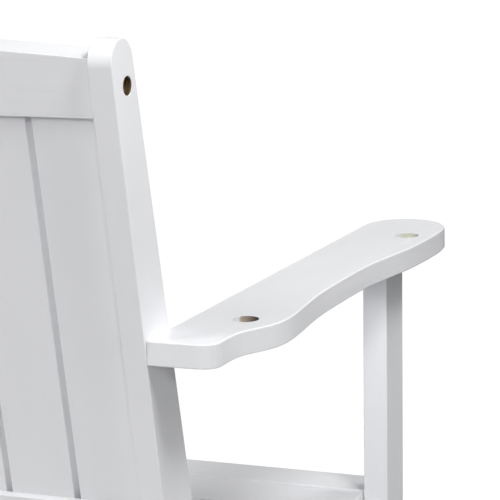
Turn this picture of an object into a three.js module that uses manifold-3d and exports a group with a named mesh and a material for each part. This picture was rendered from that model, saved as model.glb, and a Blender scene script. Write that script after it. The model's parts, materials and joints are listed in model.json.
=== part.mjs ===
// Adirondack chair: slatted reclined back between two stiles, flat contoured arms, board front legs,
// sloping side rails that carry the seat slats and run down to the ground behind the back.
// Millimetres. The chair stands on Z = 0, faces -Y, and is symmetric about X = 0.

import * as THREE from "three";
import { mergeVertices } from "three/addons/utils/BufferGeometryUtils.js";
import Module from "manifold-3d";

const wasm = await Module();
wasm.setup();

// ---- Driving dimensions ----

const FIT = 0.3; // clearance between pieces that touch
const BACK_WIDTH = 489; // between the inner faces of the two back stiles

// Back stiles: tapered boards with a full-round top.
const STILE_THICKNESS = 22.6;
const STILE_TOP = { forward: -33.9, up: 860.2, radius: 20.4 };
const STILE_BACK_ANGLE = 12.0;
const STILE_FRONT_ANGLE = 14.2;
const STILE_FOOT_UP = 204;

// Back panel: crest rail, lower rail and slats in one reclined plane.
const PANEL_RECLINE = 11.8;
const PANEL_ORIGIN = { forward: -24.8, up: 840.1 }; // middle of the crest rail's bolt
const PANEL_RAIL_THICKNESS = 31;
const CREST_BELOW = 24.9; // crest rail's lower edge, below the bolt
const CREST_END_ABOVE = 27.3; // crest rail's top edge at the stiles, above the bolt
const CREST_ARCH_RISE = 10;
const LOWER_RAIL_TOP = -386;
const LOWER_RAIL_HEIGHT = 55;
const BACK_SLAT_COUNT = 7;
const BACK_SLAT_WIDTH = 63.2;
const BACK_SLAT_PITCH = 69.3;
const BACK_SLAT_THICKNESS = 18;
const BACK_SLAT_RECESS = 8; // rear faces of the slats, inside the rails' rear faces
const GROOVE_DEPTH = 12;

// Arms: flat boards with a scooped outer edge, rising slightly towards the front.
const ARM_THICKNESS = 22;
const ARM_REAR_UP = 620;
const ARM_SLOPE = 2.35;
const ARM_HOLE_DIAMETER = 24;
const ARM_REAR_HOLE = { along: 99, out: 50 };
const ARM_FRONT_HOLE = { along: 493.5, out: 63 };

// Front legs: upright boards outside the side rails.
const LEG_THICKNESS = 26;
const LEG_DEPTH = 50;
const LEG_FRONT = 513.5;

// Seat: slats on a dished curve, front slat first.
const SEAT_FRONT = { forward: 528, up: 371.3 };
const SEAT_SLAT_DEPTH = 58;
const SEAT_SLAT_GAP = 7;
const SEAT_SLAT_THICKNESS = 18;
const SEAT_SLAT_SLOPES = [0, 6.5, 11, 13, 13, 11];

// Side rails, apron and rear cross rail.
const SIDE_RAIL_THICKNESS = 24.8;
const APRON_THICKNESS = 20;
const APRON_HEIGHT = 85;
const APRON_FRONT = 524;
const RAIL_FRONT_HEIGHT = 91;
const FOOT = { rear: -300, front: -212, heelHeight: 46, heelRound: 10, slope: 31 };
// How far each end of a side rail's swept edges holds its starting direction.
const RAIL_SWEEP = { topSeat: 120, topFoot: 200, bottomFoot: 260, bottomFront: 300, bottomDip: 14 };
const CROSS_RAIL = { forward: -125, up: 94, thickness: 22, height: 70, slope: 29 };

// Hardware.
const COUNTERBORE = { radius: 8.25, depth: 9 };
const CONNECTOR_BOLT = { shank: 3, length: 52, head: 7, headHeight: 3, socket: 2.5, socketDepth: 2 };
const CARRIAGE_BOLT = { shank: 4, head: 9.5, headHeight: 4.5 };
const NUT = { acrossCorners: 15, flange: 9, flangeHeight: 2, height: 8 };
const WOOD_SCREW = { shank: 2.2, length: 45, head: 4.2, coneHeight: 3, tip: 6 };
const DOWEL = { radius: 5, length: 44, inArm: 14 };
const ARM_BOLTS_ALONG = { rear: 13, front: 36 };
const LEG_DOWEL_INSET = 13;
const LEG_BOLTS = {
  upper: { forward: LEG_FRONT - 34, up: 322 },
  lower: { forward: LEG_FRONT - 21, up: 294 },
};
const STILE_BOLTS_UP = { upper: 262, lower: 222 };
const APRON_SCREWS_DOWN = { upper: 14, lower: 75 }; // below the apron's top edge
const ROUND = 12; // sides of a small round shape
const HOLE_ROUND = 32; // sides of a large round hole

// ---- Derived places ----

const STILE_INNER = BACK_WIDTH / 2;
const STILE_OUTER = STILE_INNER + STILE_THICKNESS;
const RAIL_INNER = STILE_OUTER + FIT;
const RAIL_OUTER = RAIL_INNER + SIDE_RAIL_THICKNESS;
const LEG_INNER = RAIL_OUTER + FIT;
const ARM_INNER = STILE_OUTER + FIT;
const SEAT_HALF = RAIL_OUTER - FIT;
const RAIL_FRONT = APRON_FRONT - APRON_THICKNESS - FIT;
const SIDES = [["left", -1], ["right", 1]];

const rad = THREE.MathUtils.degToRad;

// ---- Materials ----

const material = (color, roughness, metalness = 0) =>
  new THREE.MeshStandardMaterial({ color, roughness, metalness });
const paint = () => material(0xf4f5f6, 0.42);
const brassPlate = () => material(0xb08a45, 0.35, 1);
const zincPlate = () => material(0xb9bcc0, 0.4, 1);
const beech = () => material(0xc79a63, 0.75);

// ---- Solids ----
// Everything is drawn in the chair's own axes: x forward, y up, z towards the sitter's right.

function solidOf(geometry) {
  const bare = geometry.index ? geometry.toNonIndexed() : geometry.clone();
  bare.deleteAttribute("normal");
  bare.deleteAttribute("uv");
  const merged = mergeVertices(bare, 1e-3);
  return new wasm.Manifold(new wasm.Mesh({
    numProp: 3,
    vertProperties: merged.attributes.position.array,
    triVerts: new Uint32Array(merged.index.array),
  }));
}

function geometryOf(solid) {
  const { vertProperties, triVerts } = solid.getMesh();
  const geometry = new THREE.BufferGeometry();
  geometry.setAttribute("position", new THREE.BufferAttribute(vertProperties, 3));
  geometry.setIndex(new THREE.BufferAttribute(triVerts, 1));
  geometry.computeVertexNormals();
  return geometry;
}

// A mesh's shape in the chair's axes, whatever groups it stands in.
function placedGeometry(mesh) {
  chair.updateMatrixWorld(true);
  const toChair = chair.matrixWorld.clone().invert().multiply(mesh.matrixWorld);
  return mesh.geometry.clone().applyMatrix4(toChair);
}

// Cuts tools, drawn in the chair's axes, out of a mesh that stands in any group.
function cut(mesh, tools) {
  let solid = solidOf(placedGeometry(mesh));
  for (const tool of tools) solid = solid.subtract(solidOf(tool));
  const toMesh = mesh.matrixWorld.clone().invert().multiply(chair.matrixWorld);
  mesh.geometry = geometryOf(solid).applyMatrix4(toMesh);
}

function extrude(shape, depth, curveSegments = 6) {
  return new THREE.ExtrudeGeometry(shape, { depth, curveSegments, bevelEnabled: false });
}

function polygon(points) {
  return new THREE.Shape(points.map(([x, y]) => new THREE.Vector2(x, y)));
}

function box(x0, x1, y0, y1, z0, z1) {
  const geometry = new THREE.BoxGeometry(x1 - x0, y1 - y0, z1 - z0);
  return geometry.translate((x0 + x1) / 2, (y0 + y1) / 2, (z0 + z1) / 2);
}

function addMesh(parent, name, geometry, finish) {
  const mesh = new THREE.Mesh(geometry, finish());
  mesh.name = name;
  parent.add(mesh);
  return mesh;
}

// A turned profile of [radius, distance along the axis] pairs, whose axis points along `direction`
// from `start`.
function turned(profile, start, direction, sides = ROUND) {
  const points = profile.map(([r, along]) => new THREE.Vector2(r, along));
  const geometry = new THREE.LatheGeometry(points, sides);
  const turn = new THREE.Quaternion().setFromUnitVectors(
    new THREE.Vector3(0, 1, 0), direction.clone().normalize());
  return geometry.applyQuaternion(turn).translate(start.x, start.y, start.z);
}

const rod = (radius, from, to) => [[0, from], [radius, from], [radius, to], [0, to]];
const point = (x, y, z) => new THREE.Vector3(x, y, z);
const outward = (side) => point(0, 0, side);

// ---- The chair and its groups ----

const chair = new THREE.Group();
chair.quaternion.setFromRotationMatrix(new THREE.Matrix4().makeBasis(
  point(0, -1, 0), point(0, 0, 1), point(-1, 0, 0)));

const panel = new THREE.Group();
panel.position.set(PANEL_ORIGIN.forward, PANEL_ORIGIN.up, 0);
panel.rotation.z = rad(PANEL_RECLINE);
chair.add(panel);

const armLevel = new THREE.Group();
armLevel.position.set(0, ARM_REAR_UP, 0);
armLevel.rotation.z = rad(ARM_SLOPE);
chair.add(armLevel);

const toChairAxes = (group, x, y, z) => {
  group.updateMatrix();
  return point(x, y, z).applyMatrix4(group.matrix);
};

// ---- Back ----

// Forward position of a stile's back or front edge at a height.
function stileEdge(up, angle, facing) {
  const tangentForward = STILE_TOP.forward + facing * STILE_TOP.radius * Math.cos(rad(angle));
  const tangentUp = STILE_TOP.up + facing * STILE_TOP.radius * Math.sin(rad(angle));
  return tangentForward + (tangentUp - up) * Math.tan(rad(angle));
}

const stileMiddle = (up) =>
  (stileEdge(up, STILE_BACK_ANGLE, -1) + stileEdge(up, STILE_FRONT_ANGLE, 1)) / 2;

function stileOutline() {
  const { forward, up, radius } = STILE_TOP;
  const shape = new THREE.Shape();
  shape.moveTo(stileEdge(STILE_FOOT_UP, STILE_BACK_ANGLE, -1), STILE_FOOT_UP);
  shape.lineTo(stileEdge(STILE_FOOT_UP, STILE_FRONT_ANGLE, 1), STILE_FOOT_UP);
  shape.absarc(forward, up, radius, rad(STILE_FRONT_ANGLE), Math.PI + rad(STILE_BACK_ANGLE));
  shape.closePath();
  return shape;
}

const stiles = {};
for (const [side, sign] of SIDES) {
  stiles[side] = addMesh(chair, `back_stile_${side}`, extrude(stileOutline(), STILE_THICKNESS, 8), paint);
  stiles[side].position.z = sign > 0 ? STILE_INNER : -STILE_OUTER;
}

function crestOutline() {
  const half = STILE_INNER - FIT;
  const shape = new THREE.Shape();
  shape.moveTo(-half, -CREST_BELOW);
  shape.lineTo(half, -CREST_BELOW);
  shape.lineTo(half, CREST_END_ABOVE);
  shape.quadraticCurveTo(0, CREST_END_ABOVE + 2 * CREST_ARCH_RISE, -half, CREST_END_ABOVE);
  shape.closePath();
  return shape;
}

const crest = addMesh(panel, "crest_rail", extrude(crestOutline(), PANEL_RAIL_THICKNESS, 16), paint);
crest.rotation.y = Math.PI / 2;
crest.position.x = -PANEL_RAIL_THICKNESS / 2;

const lowerRail = addMesh(panel, "lower_back_rail", box(
  -PANEL_RAIL_THICKNESS / 2, PANEL_RAIL_THICKNESS / 2,
  LOWER_RAIL_TOP - LOWER_RAIL_HEIGHT, LOWER_RAIL_TOP,
  -STILE_INNER + FIT, STILE_INNER - FIT), paint);

// The slats' ends stand in a groove along each rail.
const slatRear = BACK_SLAT_RECESS - PANEL_RAIL_THICKNESS / 2;
const slatFront = slatRear + BACK_SLAT_THICKNESS;

function groove(from, to) {
  const halfLength = (BACK_SLAT_COUNT - 1) / 2 * BACK_SLAT_PITCH + BACK_SLAT_WIDTH / 2 + FIT;
  const slot = box(slatRear - FIT, slatFront + FIT, from, to, -halfLength, halfLength);
  panel.updateMatrix();
  return slot.applyMatrix4(panel.matrix);
}

cut(crest, [groove(-CREST_BELOW - GROOVE_DEPTH, -CREST_BELOW + GROOVE_DEPTH)]);
cut(lowerRail, [groove(LOWER_RAIL_TOP - GROOVE_DEPTH, LOWER_RAIL_TOP + GROOVE_DEPTH)]);

for (let i = 0; i < BACK_SLAT_COUNT; i++) {
  const middle = (i - (BACK_SLAT_COUNT - 1) / 2) * BACK_SLAT_PITCH;
  addMesh(panel, `back_slat_${i + 1}`, box(
    slatRear, slatFront,
    LOWER_RAIL_TOP - GROOVE_DEPTH + FIT, -CREST_BELOW + GROOVE_DEPTH - FIT,
    middle - BACK_SLAT_WIDTH / 2, middle + BACK_SLAT_WIDTH / 2), paint);
}

// ---- Arms ----

// Seen from above: x along the arm from its rear end, y outwards from the stile.
function armOutline(sign) {
  const at = (along, out) => new THREE.Vector2(along, sign * out);
  const cornerEnd = at(14, 63);
  const shape = new THREE.Shape([at(0, 0), at(0, 43)]);
  shape.quadraticCurveTo(0, sign * 62, cornerEnd.x, cornerEnd.y);
  shape.splineThru([
    at(36, 63), at(54, 65.5), at(72, 74), at(92, 82.5), at(117, 85), at(150, 82.5),
    at(213, 76), at(285, 74.5), at(347, 76), at(392, 81.5), at(432, 87), at(470, 89.2),
    at(504, 89.8), at(530, 88.8), at(550, 85.2), at(563, 78.5), at(573.5, 68.5), at(581, 56),
    at(583.5, 42), at(580, 27), at(570, 11), at(552, 1.8), at(530, 0),
  ]);
  shape.closePath();
  return shape;
}

function armHole(sign, { along, out }) {
  const geometry = new THREE.CylinderGeometry(
    ARM_HOLE_DIAMETER / 2, ARM_HOLE_DIAMETER / 2, 2 * ARM_THICKNESS, HOLE_ROUND);
  geometry.translate(along, -ARM_THICKNESS / 2, sign * (ARM_INNER + out));
  armLevel.updateMatrix();
  return geometry.applyMatrix4(armLevel.matrix);
}

const arms = {};
for (const [side, sign] of SIDES) {
  arms[side] = addMesh(armLevel, `arm_${side}`, extrude(armOutline(sign), ARM_THICKNESS, 4), paint);
  arms[side].rotation.x = Math.PI / 2;
  arms[side].position.z = sign * ARM_INNER;
  cut(arms[side], [armHole(sign, ARM_REAR_HOLE), armHole(sign, ARM_FRONT_HOLE)]);
}

// ---- Front legs ----

const armUndersideUp = (forward) =>
  ARM_REAR_UP + forward * Math.tan(rad(ARM_SLOPE)) - ARM_THICKNESS / Math.cos(rad(ARM_SLOPE));

const legs = {};
const legRear = LEG_FRONT - LEG_DEPTH;
for (const [side, sign] of SIDES) {
  const outline = polygon([
    [legRear, 0], [LEG_FRONT, 0],
    [LEG_FRONT, armUndersideUp(LEG_FRONT) - FIT], [legRear, armUndersideUp(legRear) - FIT],
  ]);
  legs[side] = addMesh(chair, `front_leg_${side}`, extrude(outline, LEG_THICKNESS), paint);
  legs[side].position.z = sign > 0 ? LEG_INNER : -LEG_INNER - LEG_THICKNESS;
}

// ---- Seat slats ----

// Each slat's group has its origin on the slat's front top edge, and x along its top face.
const seats = [];
const edge = point(SEAT_FRONT.forward, SEAT_FRONT.up, 0);
SEAT_SLAT_SLOPES.forEach((slope, i) => {
  const seat = new THREE.Group();
  seat.position.copy(edge);
  seat.rotation.z = rad(slope);
  chair.add(seat);
  seats.push(seat);
  addMesh(seat, `seat_slat_${i + 1}`, box(
    -SEAT_SLAT_DEPTH, 0, -SEAT_SLAT_THICKNESS, 0, -SEAT_HALF, SEAT_HALF), paint);
  const nextSlope = SEAT_SLAT_SLOPES[i + 1] ?? slope;
  const gapSlope = rad((slope + nextSlope) / 2);
  edge.copy(toChairAxes(seat, -SEAT_SLAT_DEPTH, 0, 0));
  edge.x -= SEAT_SLAT_GAP * Math.cos(gapSlope);
  edge.y -= SEAT_SLAT_GAP * Math.sin(gapSlope);
});

// ---- Side rails ----

// The top edge has a flat under each seat slat, then sweeps down to the foot behind the back.
function sideRailOutline() {
  const top = seats.flatMap((seat, i) => {
    const front = i === 0 ? RAIL_FRONT - SEAT_FRONT.forward : 0;
    return [front, -SEAT_SLAT_DEPTH].map((x) => toChairAxes(seat, x, -SEAT_SLAT_THICKNESS - FIT, 0));
  });
  const last = top[top.length - 1];
  const seatSlope = rad(SEAT_SLAT_SLOPES[SEAT_SLAT_SLOPES.length - 1]);
  const footSlope = rad(FOOT.slope);
  const frontBottom = top[0].y - RAIL_FRONT_HEIGHT;
  const { topSeat, topFoot, bottomFoot, bottomFront, bottomDip } = RAIL_SWEEP;
  const shape = new THREE.Shape(top.map((p) => new THREE.Vector2(p.x, p.y)));
  shape.bezierCurveTo(
    last.x - topSeat * Math.cos(seatSlope), last.y - topSeat * Math.sin(seatSlope),
    FOOT.rear + topFoot * Math.cos(footSlope), FOOT.heelHeight + topFoot * Math.sin(footSlope),
    FOOT.rear, FOOT.heelHeight);
  shape.lineTo(FOOT.rear, FOOT.heelRound);
  shape.quadraticCurveTo(FOOT.rear, 0, FOOT.rear + FOOT.heelRound, 0);
  shape.lineTo(FOOT.front, 0);
  shape.bezierCurveTo(
    FOOT.front + bottomFoot * Math.cos(footSlope), bottomFoot * Math.sin(footSlope),
    RAIL_FRONT - bottomFront, frontBottom - bottomDip, RAIL_FRONT, frontBottom);
  shape.closePath();
  return shape;
}

const sideRails = {};
for (const [side, sign] of SIDES) {
  sideRails[side] = addMesh(
    chair, `side_rail_${side}`, extrude(sideRailOutline(), SIDE_RAIL_THICKNESS, 14), paint);
  sideRails[side].position.z = sign > 0 ? RAIL_INNER : -RAIL_OUTER;
}

const apronTop = SEAT_FRONT.up - SEAT_SLAT_THICKNESS - FIT;
const apron = addMesh(chair, "front_apron", box(
  APRON_FRONT - APRON_THICKNESS, APRON_FRONT, apronTop - APRON_HEIGHT, apronTop,
  -SEAT_HALF, SEAT_HALF), paint);

const crossRail = addMesh(chair, "rear_cross_rail", box(
  -CROSS_RAIL.thickness / 2, CROSS_RAIL.thickness / 2,
  -CROSS_RAIL.height / 2, CROSS_RAIL.height / 2,
  -RAIL_INNER + FIT, RAIL_INNER - FIT), paint);
crossRail.position.set(CROSS_RAIL.forward, CROSS_RAIL.up, 0);
crossRail.rotation.z = rad(CROSS_RAIL.slope);

// ---- Hardware ----
// Each fastener comes with the clearance hole that it needs in the wood.

function connectorBolt(name, headFace, direction, woodPieces) {
  const { shank, length, head, headHeight, socket, socketDepth } = CONNECTOR_BOLT;
  const start = headFace.clone().addScaledVector(direction, COUNTERBORE.depth - headHeight);
  const profile = [
    [0, socketDepth], [socket, socketDepth], [socket, 0], [head, 0], [head, headHeight],
    [shank, headHeight], [shank, length - shank], [0, length],
  ];
  addMesh(chair, name, turned(profile, start, direction), brassPlate);
  const hole = [
    [0, -COUNTERBORE.depth], [COUNTERBORE.radius, -COUNTERBORE.depth],
    [COUNTERBORE.radius, headHeight + FIT], [shank + FIT, headHeight + FIT],
    [shank + FIT, length + FIT], [0, length + FIT],
  ];
  for (const piece of woodPieces) cut(piece, [turned(hole, start, direction, ROUND * 2)]);
}

// A carriage bolt through two boards, dome outside, flanged nut inside.
function carriageBolt(name, domeFace, direction, grip, woodPieces) {
  const { shank, head, headHeight } = CARRIAGE_BOLT;
  const length = grip + NUT.height + shank;
  const domeSteps = 3;
  const dome = Array.from({ length: domeSteps + 1 }, (_, i) => {
    const turn = (i / domeSteps) * (Math.PI / 2);
    return [head * Math.sin(turn), -FIT - headHeight * Math.cos(turn)];
  });
  const profile = [...dome, [shank, -FIT], [shank, length], [0, length]];
  addMesh(chair, name, turned(profile, domeFace, direction), zincPlate);
  const hole = rod(shank + FIT, -2, grip + 2);
  for (const piece of woodPieces) cut(piece, [turned(hole, domeFace, direction)]);
  const nutFace = domeFace.clone().addScaledVector(direction, grip + FIT);
  const flange = solidOf(turned(rod(NUT.flange, 0, NUT.flangeHeight), nutFace, direction));
  const hexagon = solidOf(turned(rod(NUT.acrossCorners / 2, 0, NUT.height), nutFace, direction, 6));
  const bore = solidOf(turned(rod(shank + FIT, -1, NUT.height + 1), nutFace, direction));
  addMesh(chair, name.replace("bolt", "nut"), geometryOf(flange.add(hexagon).subtract(bore)), zincPlate);
}

function woodScrew(name, headFace, direction, woodPieces) {
  const { shank, length, head, coneHeight, tip } = WOOD_SCREW;
  const start = headFace.clone().addScaledVector(direction, FIT);
  const profile = [
    [0, 0], [head, 0], [shank, coneHeight], [shank, length - tip], [0, length],
  ];
  addMesh(chair, name, turned(profile, start, direction), zincPlate);
  const hole = [
    [0, -1], [head + FIT, -1], [head + FIT, FIT], [shank + FIT, coneHeight + FIT],
    [shank + FIT, length + 2 * FIT], [0, length + 2 * FIT],
  ];
  for (const piece of woodPieces) cut(piece, [turned(hole, headFace, direction)]);
}

function dowel(name, top, direction, woodPieces) {
  addMesh(chair, name, turned(rod(DOWEL.radius, 0, DOWEL.length), top, direction), beech);
  const hole = rod(DOWEL.radius + FIT, -FIT, DOWEL.length + FIT);
  for (const piece of woodPieces) cut(piece, [turned(hole, top, direction)]);
}

for (const [side, sign] of SIDES) {
  const inward = outward(-sign);

  // Crest and lower rail: bolts from the stiles' outer faces into the rails' ends.
  const outerFace = (x, y) => {
    const spot = toChairAxes(panel, x, y, 0);
    spot.z = sign * STILE_OUTER;
    return spot;
  };
  const lowerRailMiddle = LOWER_RAIL_TOP - LOWER_RAIL_HEIGHT / 2;
  connectorBolt(`crest_bolt_${side}`, outerFace(0, 0), inward, [stiles[side], crest]);
  connectorBolt(
    `lower_rail_bolt_${side}`, outerFace(0, lowerRailMiddle), inward, [stiles[side], lowerRail]);

  // Arm: bolts from the stile's inner face into the arm's straight edge.
  for (const [place, along] of Object.entries(ARM_BOLTS_ALONG)) {
    const spot = toChairAxes(armLevel, along, -ARM_THICKNESS / 2, 0);
    spot.z = sign * STILE_INNER;
    connectorBolt(`arm_bolt_${side}_${place}`, spot, outward(sign), [stiles[side], arms[side]]);
  }

  // Arm on the leg: dowels between the leg's top end and the arm.
  const legMiddle = sign * (LEG_INNER + LEG_THICKNESS / 2);
  const dowelsForward = { rear: legRear + LEG_DOWEL_INSET, front: LEG_FRONT - LEG_DOWEL_INSET };
  for (const [place, forward] of Object.entries(dowelsForward)) {
    const top = point(forward, armUndersideUp(forward) + DOWEL.inArm, legMiddle);
    dowel(`leg_dowel_${side}_${place}`, top, point(0, -1, 0), [legs[side], arms[side]]);
  }

  // Leg on the side rail, and side rail on the stile.
  const legFace = sign * (LEG_INNER + LEG_THICKNESS);
  const legGrip = LEG_THICKNESS + FIT + SIDE_RAIL_THICKNESS;
  for (const [place, { forward, up }] of Object.entries(LEG_BOLTS)) {
    carriageBolt(`leg_bolt_${side}_${place}`, point(forward, up, legFace), inward, legGrip,
      [legs[side], sideRails[side]]);
  }
  const stileGrip = SIDE_RAIL_THICKNESS + FIT + STILE_THICKNESS;
  for (const [place, up] of Object.entries(STILE_BOLTS_UP)) {
    const domeFace = point(stileMiddle(up), up, sign * RAIL_OUTER);
    carriageBolt(`stile_bolt_${side}_${place}`, domeFace, inward, stileGrip,
      [sideRails[side], stiles[side]]);
  }

  // Apron on the side rails' front ends, and the rear cross rail between the side rails.
  const railMiddle = sign * (RAIL_INNER + SIDE_RAIL_THICKNESS / 2);
  for (const [place, down] of Object.entries(APRON_SCREWS_DOWN)) {
    woodScrew(`apron_screw_${side}_${place}`, point(APRON_FRONT, apronTop - down, railMiddle),
      point(-1, 0, 0), [apron, sideRails[side]]);
  }
  woodScrew(`cross_rail_screw_${side}`, point(CROSS_RAIL.forward, CROSS_RAIL.up, sign * RAIL_OUTER),
    inward, [sideRails[side], crossRail]);
}

// Centre the footprint on the origin.
const footprint = new THREE.Box3().setFromObject(chair);
chair.position.y = -(footprint.min.y + footprint.max.y) / 2;

export default chair;
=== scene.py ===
"""A white painted adirondack chair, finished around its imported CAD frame. Metres; the chair faces -Y."""

import json
import math

import bmesh
import bpy
from mathutils import Matrix, Vector


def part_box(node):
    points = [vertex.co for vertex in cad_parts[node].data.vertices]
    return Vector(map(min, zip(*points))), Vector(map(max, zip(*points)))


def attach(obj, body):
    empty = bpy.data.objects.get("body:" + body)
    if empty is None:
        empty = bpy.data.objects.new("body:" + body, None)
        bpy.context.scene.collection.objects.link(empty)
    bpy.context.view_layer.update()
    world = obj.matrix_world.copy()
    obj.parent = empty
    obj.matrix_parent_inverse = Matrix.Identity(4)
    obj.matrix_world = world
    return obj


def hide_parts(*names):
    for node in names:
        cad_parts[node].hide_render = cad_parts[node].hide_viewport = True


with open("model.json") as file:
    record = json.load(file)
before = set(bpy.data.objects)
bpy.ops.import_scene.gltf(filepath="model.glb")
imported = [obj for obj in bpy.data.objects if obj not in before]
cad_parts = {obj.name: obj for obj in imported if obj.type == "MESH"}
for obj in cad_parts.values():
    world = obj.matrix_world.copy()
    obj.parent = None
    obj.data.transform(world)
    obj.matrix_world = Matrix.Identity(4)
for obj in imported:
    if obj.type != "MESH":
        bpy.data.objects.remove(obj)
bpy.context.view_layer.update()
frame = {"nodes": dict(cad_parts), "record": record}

nodes = frame["nodes"]

# ---- Sizes ----

ARM_THICKNESS = 0.022
ARM_SLOPE = math.radians(2.35)

# The viewpoint, measured from the right arm's rear top corner, and the long lens it has.
EYE_FROM_ARM = Vector((-0.8476, 1.7580, 0.3958))
EYE_YAW = math.radians(23.108)
EYE_PITCH = math.radians(9.276)
EYE_ROLL = math.radians(-0.770)
LENS = 167.94
SENSOR = 36.0

# Boards
EDGE_ROUNDS = {"arm": 0.0014, "seat": 0.0020, "front": 0.0012}  # by the first word of a board's name
OTHER_EDGE_ROUND = 0.0009
CORNER_SPREAD = 1.15  # a corner's radius against its board's edge round
CORNER_ANGLE = math.radians(25)  # an outline that turns by less has no corner there
EDGE_STEPS = 5
RIM_ROUND = 0.0007
SHARP_RIMS = ["arm", "front"]  # the boards, by the same word, whose drilled holes keep sharp mouths
ARM_HOLE_RADIUS = 0.012
HOLE_REACH = 1.2 * ARM_HOLE_RADIUS  # a wall face with its middle this near a hole's is in that hole
SKIN = 0.00001  # the boards stay this far inside the CAD solids, so that no two faces coincide
SHARP = math.radians(38)  # an edge that turns by more isn't smoothed over

# Tolerances
SAME_POINT = 0.000001
SAME_AREA = 0.000000001
PARALLEL = 0.9999  # the least cosine between directions that count as one
TOUCHING = 0.00001  # how near a board's face or outline a corner of a triangle has to be, to lie on it
LEVEL = 0.0001  # how near the end or the inner edge of an outline a point has to be, to lie on it

# Hardware
ROUND_STEPS = 48
THREAD_PITCH = 0.00125
THREAD_DEPTH = 0.0003
FLUTES = 16
FLUTE_DEPTH = 0.035  # as a share of the dowel's radius
RECESS_CORE = 0.34  # how far a cross recess reaches between its arms, as a share of their reach

# Studio. The lights are aimed at one point, and their azimuths run anticlockwise from +X.
FLOOR_RADIUS = 1.45
FLOOR_STEPS = 96
BACKDROP_STRENGTH = 1.05  # just over white
LIGHTS_AIM = Vector((-0.2, 0.0, 0.6))
SOFTBOXES = [
    # name, azimuth and elevation in degrees, power in watts, diameter, distance
    ("rear_low", 113, 20, 27.0, 1.0, 2.8),
    ("rear_left_low", 45, 20, 12.5, 1.0, 2.8),
    ("rear_left_high", 45, 40, 20.2, 1.0, 2.8),
    ("right_high", 150, 50, 11.4, 0.4, 1.6),
    ("right_middle", 150, 35, 1.8, 0.4, 1.6),
    ("right_side_high", 165, 45, 0.9, 0.5, 1.5),
    ("right_side_low", 165, 25, 0.5, 0.5, 1.5),
    ("right_front_high", 210, 44, 3.6, 0.4, 2.8),
    ("right_front_low", 210, 20, 5.6, 1.0, 2.8),
    ("front_right_high", 240, 44, 30.2, 1.0, 2.8),
    ("front_low", 270, 15, 2.1, 1.0, 2.8),
    ("front_left", 330, 30, 11.8, 1.0, 2.8),
]

BOARDS = [
    "back_stile_left", "back_stile_right", "crest_rail", "lower_back_rail",
    "arm_left", "arm_right", "front_leg_left", "front_leg_right",
    "side_rail_left", "side_rail_right", "front_apron", "rear_cross_rail",
    *(f"back_slat_{i}" for i in range(1, 8)),
    *(f"seat_slat_{i}" for i in range(1, 7)),
]
BACK_RAILS = ["crest_rail", "lower_back_rail"]  # square at the stiles, painted inside their grooves
BUTT_REACH = 0.006  # how far an outline runs on past a joint, so that no easing is left there
STILE_JOINT = 0.050  # how much of an arm's inner edge lies against the stile
SIDES = {"left": 1, "right": -1}  # the sign of X on each side

RAGGEDNESS = 0.16  # how far torn wood shifts the painted light and shade in an arm's hole, as a share of its width

# Painted light and shade across an arm's hole, each with its place from the side nearer the chair's middle
# outwards: pale where light falls on the wall and overspray also reaches it, then wood colour, and darkest
# as painted shade at its deep outer side.
HOLE_PAINTED_SHADING = {
    "rear": ((0.13, (0.76, 0.76, 0.76)), (0.18, (0.42, 0.34, 0.27)), (0.40, (0.27, 0.21, 0.165)),
             (0.74, (0.12, 0.085, 0.06)), (0.84, (0.02, 0.02, 0.02))),
    "front": ((0.08, (0.74, 0.74, 0.74)), (0.16, (0.65, 0.66, 0.54)), (0.74, (0.61, 0.62, 0.51)),
              (0.84, (0.42, 0.43, 0.44))),
}


# ---- Camera ----

def add_camera():
    stile_low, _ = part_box("back_stile_right")
    arm_low, arm_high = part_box("arm_right")
    corner = Vector((stile_low.x, arm_high.y, arm_low.z + ARM_THICKNESS * math.cos(ARM_SLOPE)))
    camera = bpy.data.objects.new("camera", bpy.data.cameras.new("camera"))
    camera.data.lens = LENS
    camera.data.sensor_width = SENSOR
    camera.data.clip_end = 100
    heading = Matrix.Rotation(math.pi + EYE_YAW, 4, "Z")
    tilt = Matrix.Rotation(math.pi / 2 - EYE_PITCH, 4, "X")
    roll = Matrix.Rotation(EYE_ROLL, 4, "Z")
    camera.matrix_world = Matrix.Translation(corner + EYE_FROM_ARM) @ heading @ tilt @ roll
    bpy.context.collection.objects.link(camera)
    bpy.context.scene.camera = camera


# ---- Materials ----

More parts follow.
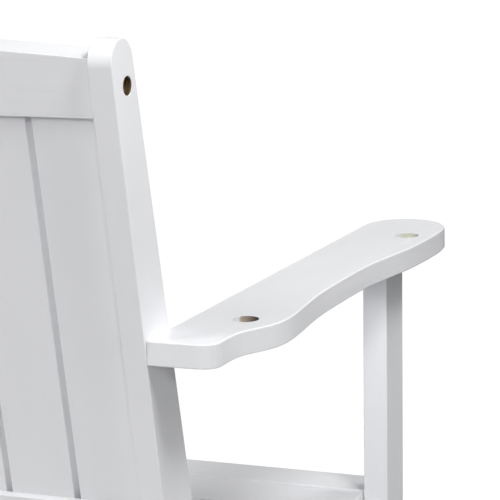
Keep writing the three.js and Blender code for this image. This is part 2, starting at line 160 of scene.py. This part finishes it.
class Nodes:
    """A material's node tree, with short ways to add and join nodes."""

    def __init__(self, name):
        self.material = bpy.data.materials.new(name)
        self.material.use_nodes = True
        self.tree = self.material.node_tree
        self.shader = self.tree.nodes["Principled BSDF"]

    def add(self, kind, **settings):
        node = self.tree.nodes.new(kind)
        for key, value in settings.items():
            setattr(node, key, value)
        return node

    def join(self, source, target):
        self.tree.links.new(source, target)

    def coordinates(self, scale, turn=(0, 0, 0)):
        """Object coordinates, turned and then stretched."""
        place = self.add("ShaderNodeTexCoord")
        turned = self.add("ShaderNodeMapping", vector_type="POINT")
        turned.inputs["Rotation"].default_value = turn
        stretched = self.add("ShaderNodeMapping", vector_type="POINT")
        stretched.inputs["Scale"].default_value = scale
        self.join(place.outputs["Object"], turned.inputs["Vector"])
        self.join(turned.outputs["Vector"], stretched.inputs["Vector"])
        return stretched.outputs["Vector"]

    def noise(self, vector, detail=3.0, roughness=0.5, distortion=0.0):
        noise = self.add("ShaderNodeTexNoise")
        noise.inputs["Scale"].default_value = 1.0
        noise.inputs["Detail"].default_value = detail
        noise.inputs["Roughness"].default_value = roughness
        noise.inputs["Distortion"].default_value = distortion
        self.join(vector, noise.inputs["Vector"])
        return noise.outputs["Fac"]

    def ramp(self, factor, *stops):
        node = self.add("ShaderNodeValToRGB")
        elements = node.color_ramp.elements
        while len(elements) < len(stops):
            elements.new(0.5)
        for element, (position, colour) in zip(elements, stops):
            element.position = position
            element.color = (*colour, 1)
        self.join(factor, node.inputs["Fac"])
        return node.outputs["Color"]

    def spread(self, factor, low, high):
        """Maps 0.3 to 0.7, where most of a noise lies, onto low to high."""
        node = self.add("ShaderNodeMapRange")
        node.inputs["From Min"].default_value = 0.3
        node.inputs["From Max"].default_value = 0.7
        node.inputs["To Min"].default_value = low
        node.inputs["To Max"].default_value = high
        self.join(factor, node.inputs["Value"])
        return node.outputs["Result"]

    def bump(self, height, distance, below=None):
        node = self.add("ShaderNodeBump")
        node.inputs["Distance"].default_value = distance
        self.join(height, node.inputs["Height"])
        if below is not None:
            self.join(below, node.inputs["Normal"])
        return node.outputs["Normal"]


def turn_onto_x(direction):
    """Euler angles that turn a direction onto X."""
    return direction.rotation_difference(Vector((1, 0, 0))).to_euler()


def painted_wood(name, grain):
    """Sprayed satin white paint, with the grain of the board just telegraphing through."""
    m = Nodes(name)
    turn = turn_onto_x(grain)
    pores = m.noise(m.coordinates((9, 420, 420), turn), detail=4, roughness=0.6, distortion=0.4)
    waves = m.noise(m.coordinates((2.5, 60, 60), turn), detail=2, distortion=0.8)
    spray = m.noise(m.coordinates((900, 900, 900)), detail=2)
    cloud = m.noise(m.coordinates((7, 14, 14), turn), detail=3)
    m.join(m.ramp(cloud, (0.3, (0.833, 0.838, 0.858)), (0.7, (0.863, 0.866, 0.884))),
           m.shader.inputs["Base Color"])
    m.join(m.spread(pores, 0.36, 0.47), m.shader.inputs["Roughness"])
    grain_bump = m.bump(pores, 0.00006, m.bump(waves, 0.0004))
    m.join(m.bump(spray, 0.00002, grain_bump), m.shader.inputs["Normal"])
    return m.material


def raw_wood(name, dark, light):
    """Bare drilled wood: streaky and torn, with no gloss."""
    m = Nodes(name)
    streaks = m.noise(m.coordinates((260, 260, 900)), detail=6, roughness=0.7, distortion=1.5)
    m.join(m.ramp(streaks, (0.32, dark), (0.68, light)), m.shader.inputs["Base Color"])
    m.join(m.spread(streaks, 0.7, 0.9), m.shader.inputs["Roughness"])
    m.join(m.bump(streaks, 0.0004), m.shader.inputs["Normal"])
    return m.material


def hole_wall_with_painted_shade(name, middle, outward, painted_shading):
    """A drilled wall with painted light and shade across it: palest on its side nearer the chair's middle,
    where light falls and overspray has also reached, and darkest on its outer side as painted shade.
    """
    m = Nodes(name)
    place = m.add("ShaderNodeTexCoord")
    axes = m.add("ShaderNodeSeparateXYZ")
    m.join(place.outputs["Object"], axes.inputs["Vector"])
    across = m.add("ShaderNodeMapRange")
    across.inputs["From Min"].default_value = middle - outward * ARM_HOLE_RADIUS
    across.inputs["From Max"].default_value = middle + outward * ARM_HOLE_RADIUS
    m.join(axes.outputs["X"], across.inputs["Value"])
    tears = m.noise(m.coordinates((500, 500, 160)), detail=5, roughness=0.65, distortion=0.6)
    ragged = m.add("ShaderNodeMath", operation="MULTIPLY_ADD")
    m.join(m.spread(tears, -0.5, 0.5), ragged.inputs[0])
    ragged.inputs[1].default_value = RAGGEDNESS
    m.join(across.outputs["Result"], ragged.inputs[2])
    # the ramp paints light and shade across the hole's wall, pale on the lit side and dark as painted
    # shade on the far side
    m.join(m.ramp(ragged.outputs["Value"], *painted_shading), m.shader.inputs["Base Color"])
    m.join(m.spread(tears, 0.6, 0.9), m.shader.inputs["Roughness"])
    m.join(m.bump(tears, 0.0003), m.shader.inputs["Normal"])
    return m.material


def shaded_counterbore_wall(name):
    """Oiled brown wood, turned smooth by the cutter, with rings round the hole and dark pores. Its colour
    runs down to nearly black as painted shade deep in the hole, and its golden rings are partly the wood's
    own colour and partly painted glints.
    """
    m = Nodes(name)
    rings = m.noise(m.coordinates((1500, 90, 90)), detail=3, roughness=0.6, distortion=0.3)
    pores = m.noise(m.coordinates((500, 500, 500)), detail=4)
    # nearly black as painted shade deep in the counterbore, up to golden-brown rings that are partly
    # painted glints
    m.join(m.ramp(rings, (0.36, (0.012, 0.008, 0.003)), (0.52, (0.075, 0.042, 0.012)),
                  (0.68, (0.30, 0.18, 0.05))), m.shader.inputs["Base Color"])
    m.join(m.spread(pores, 0.25, 0.6), m.shader.inputs["Roughness"])
    m.join(m.bump(rings, 0.0006), m.shader.inputs["Normal"])
    return m.material


def plated_steel(name, dull, bright, rough_low, rough_high):
    """Zinc plate over turned steel, with fine machining rings and a faint mottle."""
    m = Nodes(name)
    mottle = m.noise(m.coordinates((700, 700, 700)), detail=5, roughness=0.6)
    scratch = m.noise(m.coordinates((4000, 400, 400)), detail=3)
    m.join(m.ramp(mottle, (0.3, dull), (0.7, bright)), m.shader.inputs["Base Color"])
    m.join(m.spread(scratch, rough_low, rough_high), m.shader.inputs["Roughness"])
    m.join(m.bump(scratch, 0.00002, m.bump(mottle, 0.00003)), m.shader.inputs["Normal"])
    m.shader.inputs["Metallic"].default_value = 1.0
    return m.material


def pale_floor(name):
    """A pale floor that thins out towards its rim."""
    m = Nodes(name)
    speckle = m.noise(m.coordinates((30, 30, 30)), detail=4)
    m.join(m.ramp(speckle, (0.3, (0.90, 0.90, 0.90)), (0.7, (0.92, 0.92, 0.92))),
           m.shader.inputs["Base Color"])
    m.shader.inputs["Roughness"].default_value = 0.7
    place = m.add("ShaderNodeTexCoord")
    distance = m.add("ShaderNodeVectorMath", operation="LENGTH")
    fade = m.add("ShaderNodeMapRange", interpolation_type="SMOOTHSTEP")
    fade.inputs["From Min"].default_value = 0.5 * FLOOR_RADIUS
    fade.inputs["From Max"].default_value = FLOOR_RADIUS
    fade.inputs["To Min"].default_value = 1.0
    fade.inputs["To Max"].default_value = 0.0
    m.join(place.outputs["Object"], distance.inputs[0])
    m.join(distance.outputs["Value"], fade.inputs["Value"])
    m.join(fade.outputs["Result"], m.shader.inputs["Alpha"])
    return m.material


# ---- Mesh tools ----

def new_object(name, mesh, *materials):
    for material in materials:
        mesh.materials.append(material)
    made = bpy.data.objects.new(name, mesh)
    bpy.context.collection.objects.link(made)
    return made


def finish_piece(piece, node):
    """Smooths a piece, and lets it stand for its CAD node."""
    work = bmesh.new()
    work.from_mesh(piece.data)
    for face in work.faces:
        face.smooth = True
    for edge in work.edges:
        edge.smooth = len(edge.link_faces) == 2 and edge.calc_face_angle(math.pi) < SHARP
    work.to_mesh(piece.data)
    work.free()
    normals = piece.modifiers.new("even normals", "WEIGHTED_NORMAL")
    normals.keep_sharp = True
    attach(piece, "root")
    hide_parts(node)


def thickness_direction(solid):
    """The direction that most of a board's surface faces."""
    totals = []
    for face in sorted(solid.faces, key=lambda face: -face.calc_area()):
        pull = face.normal * face.calc_area()
        for entry in totals:
            if abs(entry.normalized().dot(face.normal)) > PARALLEL:
                entry += math.copysign(1, entry.dot(pull)) * pull
                break
        else:
            totals.append(pull)
    return max(totals, key=lambda entry: entry.length).normalized()


def closed_copy(node):
    """The CAD node's solid with its triangles joined up."""
    work = bmesh.new()
    work.from_mesh(nodes[node].data)
    bmesh.ops.remove_doubles(work, verts=work.verts, dist=SAME_POINT)
    return work


def cap_outline(solid, across):
    """The outer edge of a board's face on the `across` side, anticlockwise seen from there."""
    top = max(vertex.co.dot(across) for vertex in solid.verts)
    cap = [
        face for face in solid.faces
        if all(vertex.co.dot(across) > top - TOUCHING for vertex in face.verts)
    ]
    border = {}
    for face in cap:
        for loop in face.loops:
            if not any(other in cap for other in loop.edge.link_faces if other != face):
                border[loop.vert] = loop.link_loop_next.vert
    outlines = []
    while border:
        start, here = border.popitem()
        outline = [start.co.copy()]
        while here != start:
            outline.append(here.co.copy())
            here = border.pop(here)
        outlines.append(outline)
    return max(outlines, key=lambda each: sum((p - q).length for p, q in zip(each, each[1:])))


def grain_direction(outline, across):
    """The long side of the smallest rectangle round an outline."""
    best = None
    for a, b in zip(outline, outline[1:] + outline[:1]):
        along = (b - a).normalized()
        side = across.cross(along)
        spans = []
        for direction in (along, side):
            reach = [point.dot(direction) for point in outline]
            spans.append(max(reach) - min(reach))
        area = spans[0] * spans[1]
        if best is None or area < best[0] - SAME_AREA:
            best = (area, along if spans[0] >= spans[1] else side)
    return best[1]


def run_on_at_ends(outline):
    """Lengthens a flat outline at both its ends along X."""
    reach = [point.x for point in outline]
    ends = (min(reach), max(reach))
    longer = []
    for i, point in enumerate(outline):
        end = min(ends, key=lambda each: abs(point.x - each))
        if abs(point.x - end) < LEVEL:
            near = outline[i - 1], outline[(i + 1) % len(outline)]
            inner = max(near, key=lambda other: abs(other.x - end))
            point = point + (point - inner).normalized() * BUTT_REACH
        longer.append(point)
    return longer


def run_on_at_stile(border):
    """Widens an arm's outline inwards where its edge lies against the stile."""
    inner_edge = min(abs(point.x) for point in border)
    joint_end = max(point.y for point in border) - STILE_JOINT
    inwards = Vector((-math.copysign(BUTT_REACH, border[0].x), 0, 0))
    wider = []
    for i, point in enumerate(border):
        before = border[i - 1]
        on_edge = abs(point.x) < inner_edge + LEVEL
        if on_edge and abs(before.x) < inner_edge + LEVEL:
            if (point.y - joint_end) * (before.y - joint_end) < 0:
                knee = before.lerp(point, (joint_end - before.y) / (point.y - before.y))
                step = [knee, knee + inwards]
                wider += step if point.y > joint_end else step[::-1]
        wider.append(point + inwards if on_edge and point.y > joint_end else point)
    return wider


def ease_corners(outline, radius):
    """Turns each corner of a flat outline into a small arc."""
    eased = []
    for i, corner in enumerate(outline):
        arriving = (corner - outline[i - 1]).normalized()
        leaving = (outline[(i + 1) % len(outline)] - corner).normalized()
        turn = math.atan2(arriving.cross(leaving), arriving.dot(leaving))
        if abs(turn) < CORNER_ANGLE:
            eased.append(corner)
            continue
        start = corner - arriving * radius * math.tan(abs(turn) / 2)
        inward = Vector((-arriving.y, arriving.x)) * math.copysign(radius, turn)
        for step in range(EDGE_STEPS + 1):
            swing = Matrix.Rotation(turn * step / EDGE_STEPS, 2)
            eased.append(start + inward - swing @ inward)
    return eased


def inset(outline, distance):
    """A flat anticlockwise outline moved inwards."""
    moved = []
    for i, point in enumerate(outline):
        arriving = (point - outline[i - 1]).normalized()
        leaving = (outline[(i + 1) % len(outline)] - point).normalized()
        first = Vector((-arriving.y, arriving.x))
        second = Vector((-leaving.y, leaving.x))
        moved.append(point + (first + second) * distance / (1 + first.dot(second)))
    return moved


def rounded_prism(outline, low, high, radius, place):
    """A board from `low` to `high` over a flat outline, its edges eased all round."""
    rings = []
    for step in range(EDGE_STEPS + 1):
        turn = math.pi / 2 * step / EDGE_STEPS
        rings.append((radius * (1 - math.sin(turn)), radius * (1 - math.cos(turn))))
    levels = [(back, low + rise) for back, rise in rings]
    levels += [(back, high - rise) for back, rise in reversed(rings)]
    points = []
    for back, height in levels:
        points += [place(point.x, point.y, height) for point in inset(outline, back)]
    count = len(outline)
    faces = []
    for level in range(len(levels) - 1):
        for i in range(count):
            a, b = level * count + i, level * count + (i + 1) % count
            faces.append((a, b, b + count, a + count))
    faces.append(tuple(reversed(range(count))))
    faces.append(tuple(range(len(points) - count, len(points))))
    mesh = bpy.data.meshes.new("board")
    mesh.from_pydata(points, [], faces)
    return mesh


def round_rims(mesh):
    """Eases the mouths of holes, where paint meets bare wood."""
    work = bmesh.new()
    work.from_mesh(mesh)
    rims = [
        edge for edge in work.edges
        if len({face.material_index for face in edge.link_faces}) == 2
    ]
    bmesh.ops.bevel(
        work, geom=rims, offset=RIM_ROUND, segments=2, profile=0.5, affect="EDGES", material=0)
    work.to_mesh(mesh)
    work.free()


# ---- Boards ----

def wall_index(face, walls, border, across):
    """Which of its board's materials a CAD face gives to a cut made along it.

    The first, the paint, is for the board's outside. Other faces take the material of the hole that
    they are in, or the last one.
    """
    if all(min((vertex.co - point).cross(across).length for point in border) < TOUCHING
           for vertex in face.verts):
        return 0
    centre = face.calc_center_median()
    for index, (_, middle) in enumerate(walls, start=1):
        if middle is None or (centre.xy - middle.xy).length < HOLE_REACH:
            return index
    return 0


def make_board(node, walls):
    """An eased board cut to its CAD solid.

    `walls` lists the materials in its holes, each with the middle of the hole that it is for. The last
    has no middle, and is for all other holes. A board with no walls is painted in its grooves too.
    """
    solid = closed_copy(node)
    across = thickness_direction(solid)
    border = cap_outline(solid, across)
    along = grain_direction(border, across)
    for face in solid.faces:
        face.material_index = wall_index(face, walls, border, across)
    kind = node.split("_")[0]
    if kind == "arm":
        border = run_on_at_stile(border)
    radius = EDGE_ROUNDS.get(kind, OTHER_EDGE_ROUND)
    side = across.cross(along)
    reach = [vertex.co.dot(across) for vertex in solid.verts]
    flat = [Vector((point.dot(along), point.dot(side))) for point in border]
    if node in BACK_RAILS:
        flat = run_on_at_ends(flat)
    outline = inset(ease_corners(flat, CORNER_SPREAD * radius), SKIN)
    mesh = rounded_prism(
        outline, min(reach) + SKIN, max(reach) - SKIN, radius,
        lambda x, y, height: along * x + side * y + across * height)
    materials = [painted_wood(f"white_paint_{node}", along), *(material for material, _ in walls)]
    board = new_object(f"{node}_board", mesh, *materials)
    solid_mesh = bpy.data.meshes.new("solid")
    solid.to_mesh(solid_mesh)
    solid.free()
    cutter = new_object("cutter", solid_mesh, *materials)
    cut = board.modifiers.new("cut to the solid", "BOOLEAN")
    cut.operation = "INTERSECT"
    cut.solver = "EXACT"
    cut.object = cutter
    bpy.context.view_layer.update()
    graph = bpy.context.evaluated_depsgraph_get()
    shaped = bpy.data.meshes.new_from_object(board.evaluated_get(graph))
    board.modifiers.clear()
    board.data = shaped
    bpy.data.objects.remove(cutter)
    if kind not in SHARP_RIMS:
        round_rims(shaped)
    finish_piece(board, node)


def make_boards(bare):
    milled_in_shade = shaded_counterbore_wall("shaded_counterbore_wall")
    for node in BOARDS:
        if node.startswith("back_stile"):
            walls = [(milled_in_shade, None)]
        elif node in BACK_RAILS:
            walls = []
        elif node.startswith("arm"):
            walls = [*arm_hole_walls(node), (bare, None)]
        else:
            walls = [(bare, None)]
        make_board(node, walls)


def arm_hole_walls(node):
    """Wall materials with painted light and shade for an arm's two through holes, with their middles."""
    walls = []
    for opening in frame["record"]["physics"]["openings"]:
        if opening["name"].startswith(node):
            low, high = (Vector(corner) for corner in opening["box_m"])
            middle = (low + high) / 2
            painted_shading = HOLE_PAINTED_SHADING["front" if "front" in opening["name"] else "rear"]
            wall = hole_wall_with_painted_shade(f"{opening['name']}_wall", middle.x, math.copysign(1, middle.x), painted_shading)
            walls.append((wall, middle))
    return walls


# ---- Hardware ----

def hexagon(turn):
    """How far a hexagon of unit across-corners radius reaches at an angle."""
    sector = math.pi / 3
    return math.cos(sector / 2) / math.cos(turn % sector - sector / 2)


def cross(turn):
    """The outline of a cross recess of unit reach."""
    return RECESS_CORE + (1 - RECESS_CORE) * abs(math.cos(2 * turn)) ** 5


def flutes(turn):
    """The outline of a fluted dowel of unit radius."""
    return 1 - FLUTE_DEPTH * (0.5 + 0.5 * math.cos(FLUTES * turn)) ** 2


def circle(_):
    """The outline of a plain round piece of unit radius."""
    return 1


def turn_piece(node, profile, start, direction, material):
    """Makes a closed turned piece. The profile's rings are (radius, distance along, shape)."""
    turn_to = Vector((0, 0, 1)).rotation_difference(direction).to_matrix()
    points, faces, previous = [], [], None
    for radius, along, shape in profile:
        if radius == 0:
            ring = [len(points)] * ROUND_STEPS
            points.append(start + turn_to @ Vector((0, 0, along)))
        else:
            ring = list(range(len(points), len(points) + ROUND_STEPS))
            for step in range(ROUND_STEPS):
                turn = 2 * math.pi * step / ROUND_STEPS
                reach = radius * shape(turn)
                points.append(start + turn_to @ Vector(
                    (reach * math.cos(turn), reach * math.sin(turn), along)))
        if previous:
            for step in range(ROUND_STEPS):
                after = (step + 1) % ROUND_STEPS
                corners = [previous[step], ring[step], ring[after], previous[after]]
                unique = list(dict.fromkeys(corners))
                if len(unique) > 2:
                    faces.append(unique)
        previous = ring
    name = f"{node}_turned"
    mesh = bpy.data.meshes.new(name)
    mesh.from_pydata(points, [], faces)
    work = bmesh.new()
    work.from_mesh(mesh)
    bmesh.ops.remove_doubles(work, verts=work.verts, dist=SAME_POINT)
    bmesh.ops.recalc_face_normals(work, faces=work.faces)
    work.to_mesh(mesh)
    work.free()
    finish_piece(new_object(name, mesh, material), node)


def thread(radius, start, end):
    """Rings of a machine thread, from start to end along the shank."""
    rings = []
    turns = max(1, round((end - start) / THREAD_PITCH))
    pitch = (end - start) / turns
    for i in range(turns):
        rings.append((radius - THREAD_DEPTH, start + pitch * i, circle))
        rings.append((radius, start + pitch * (i + 0.5), circle))
    rings.append((radius - THREAD_DEPTH, end, circle))
    return rings


def along_box(node, direction):
    """Where a fastener starts along its direction, its length and its largest radius."""
    low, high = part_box(node)
    middle = (low + high) / 2
    size = high - low
    length = abs(size.dot(direction))
    axes = (Vector((1, 0, 0)), Vector((0, 1, 0)), Vector((0, 0, 1)))
    radius = max(abs(size.dot(axis)) for axis in axes if abs(axis.dot(direction)) < 0.5) / 2
    return middle - direction * length / 2, length, radius


def connector_bolt(node, direction, material):
    start, length, head = along_box(node, direction)
    shank, head_height, socket, socket_depth = 0.003, 0.003, 0.0029, 0.002
    drill_point, mouth, ease, chamfer, plain_part = 0.0008, 0.0002, 0.0006, 0.0003, 0.35
    profile = [
        (0, socket_depth + drill_point, circle),
        (socket, socket_depth, hexagon),
        (socket, mouth, hexagon),
        (socket + chamfer, 0, hexagon),
        (head - ease, 0, circle),
        (head - 0.3 * ease, 0.3 * ease, circle),
        (head, ease, circle),
        (head, head_height - chamfer, circle),
        (head - chamfer, head_height, circle),
        (shank, head_height, circle),
        *thread(shank, length * plain_part, length - shank),
        (0.4 * shank, length, circle),
        (0, length, circle),
    ]
    turn_piece(node, profile, start, direction, material)


def carriage_bolt(node, direction, material):
    start, length, head = along_box(node, direction)
    shank, dome, steps = 0.004, 0.0045, 8
    undercut, chamfer, plain_part = 0.0001, 0.001, 0.6
    profile = [(0, 0, circle)]
    for step in range(1, steps + 1):
        turn = math.pi / 2 * step / steps
        profile.append((head * math.sin(turn), dome * (1 - math.cos(turn)), circle))
    profile += [
        (shank, dome + undercut, circle),
        *thread(shank, length * plain_part, length - chamfer),
        (shank - chamfer, length, circle),
        (0, length, circle),
    ]
    turn_piece(node, profile, start, direction, material)


def flange_nut(node, direction, material):
    start, length, flange = along_box(node, direction)
    bore, corners, flange_height, ease = 0.0043, 0.0075, 0.002, 0.0006
    chamfer, rim_low, rim_high = 0.0003, 0.0004, 0.0011
    profile = [
        (bore, 0, circle),
        (flange - chamfer, 0, circle),
        (flange, rim_low, circle),
        (flange, rim_high, circle),
        (corners, flange_height, hexagon),
        (corners, length - 1.5 * ease, hexagon),
        (corners - ease, length, circle),
        (bore + ease, length, circle),
        (bore, length - ease, circle),
        (bore, 0, circle),
    ]
    turn_piece(node, profile, start, direction, material)


def wood_screw(node, direction, material):
    start, length, head = along_box(node, direction)
    shank, cone, recess_depth, tip = 0.0022, 0.003, 0.0022, 0.006
    ease, plain_part = 0.0002, 0.4
    profile = [
        (0, recess_depth, circle),
        (0.30 * head, 0.8 * recess_depth, cross),
        (0.58 * head, 0, cross),
        (head - ease, 0, circle),
        (head, ease, circle),
        (shank, cone, circle),
        *thread(shank, length * plain_part, length - tip),
        (0, length, circle),
    ]
    turn_piece(node, profile, start, direction, material)


def fluted_dowel(node, direction, material):
    start, length, radius = along_box(node, direction)
    ease = 0.001
    profile = [
        (0, 0, circle),
        (radius - ease, 0, flutes),
        (radius, ease, flutes),
        (radius, length - ease, flutes),
        (radius - ease, length, flutes),
        (0, length, circle),
    ]
    turn_piece(node, profile, start, direction, material)


def make_hardware(bare):
    brass = plated_steel("yellow_zinc", (0.34, 0.20, 0.06), (0.62, 0.42, 0.16), 0.25, 0.45)
    zinc = plated_steel("bright_zinc", (0.50, 0.51, 0.53), (0.72, 0.73, 0.75), 0.28, 0.48)
    for side, sign in SIDES.items():
        outward, inward = Vector((sign, 0, 0)), Vector((-sign, 0, 0))
        for name in ("crest_bolt", "lower_rail_bolt"):
            connector_bolt(f"{name}_{side}", inward, brass)
        for place in ("rear", "front"):
            connector_bolt(f"arm_bolt_{side}_{place}", outward, brass)
            fluted_dowel(f"leg_dowel_{side}_{place}", Vector((0, 0, 1)), bare)
        for place in ("upper", "lower"):
            for joint in ("leg", "stile"):
                carriage_bolt(f"{joint}_bolt_{side}_{place}", inward, zinc)
                flange_nut(f"{joint}_nut_{side}_{place}", inward, zinc)
            wood_screw(f"apron_screw_{side}_{place}", Vector((0, 1, 0)), zinc)
        wood_screw(f"cross_rail_screw_{side}", inward, zinc)


# ---- Studio ----

def add_floor():
    work = bmesh.new()
    bmesh.ops.create_circle(work, cap_ends=True, segments=FLOOR_STEPS, radius=FLOOR_RADIUS)
    mesh = bpy.data.meshes.new("floor")
    work.to_mesh(mesh)
    work.free()
    new_object("floor", mesh, pale_floor("pale_floor"))


def add_softbox(name, azimuth, elevation, power, size, distance):
    """A round soft light that faces the chair, out of the camera's sight."""
    turn, rise = math.radians(azimuth), math.radians(elevation)
    towards = Vector((math.cos(turn) * math.cos(rise), math.sin(turn) * math.cos(rise), math.sin(rise)))
    light = bpy.data.lights.new(name, "AREA")
    light.shape = "DISK"
    light.size = size
    light.energy = power
    lamp = bpy.data.objects.new(name, light)
    lamp.location = LIGHTS_AIM + towards * distance
    lamp.rotation_mode = "QUATERNION"
    lamp.rotation_quaternion = (-towards).to_track_quat("-Z", "Y")
    lamp.visible_camera = False
    bpy.context.collection.objects.link(lamp)


def add_surroundings():
    """White all round for the camera, and dark for everything else."""
    world = bpy.data.worlds.new("studio")
    world.use_nodes = True
    tree = world.node_tree
    fill = tree.nodes["Background"]
    fill.inputs["Color"].default_value = (0, 0, 0, 1)
    seen = tree.nodes.new("ShaderNodeBackground")
    seen.inputs["Color"].default_value = (1, 1, 1, 1)
    seen.inputs["Strength"].default_value = BACKDROP_STRENGTH
    path = tree.nodes.new("ShaderNodeLightPath")
    mix = tree.nodes.new("ShaderNodeMixShader")
    tree.links.new(path.outputs["Is Camera Ray"], mix.inputs["Fac"])
    tree.links.new(fill.outputs["Background"], mix.inputs[1])
    tree.links.new(seen.outputs["Background"], mix.inputs[2])
    tree.links.new(mix.outputs["Shader"], tree.nodes["World Output"].inputs["Surface"])
    bpy.context.scene.world = world


def add_studio():
    add_floor()
    add_surroundings()
    for softbox in SOFTBOXES:
        add_softbox(*softbox)
    bpy.context.scene.view_settings.view_transform = "Standard"


add_camera()
bare_wood = raw_wood("bare_wood", (0.10, 0.055, 0.025), (0.36, 0.22, 0.11))
make_boards(bare_wood)
make_hardware(bare_wood)
add_studio()
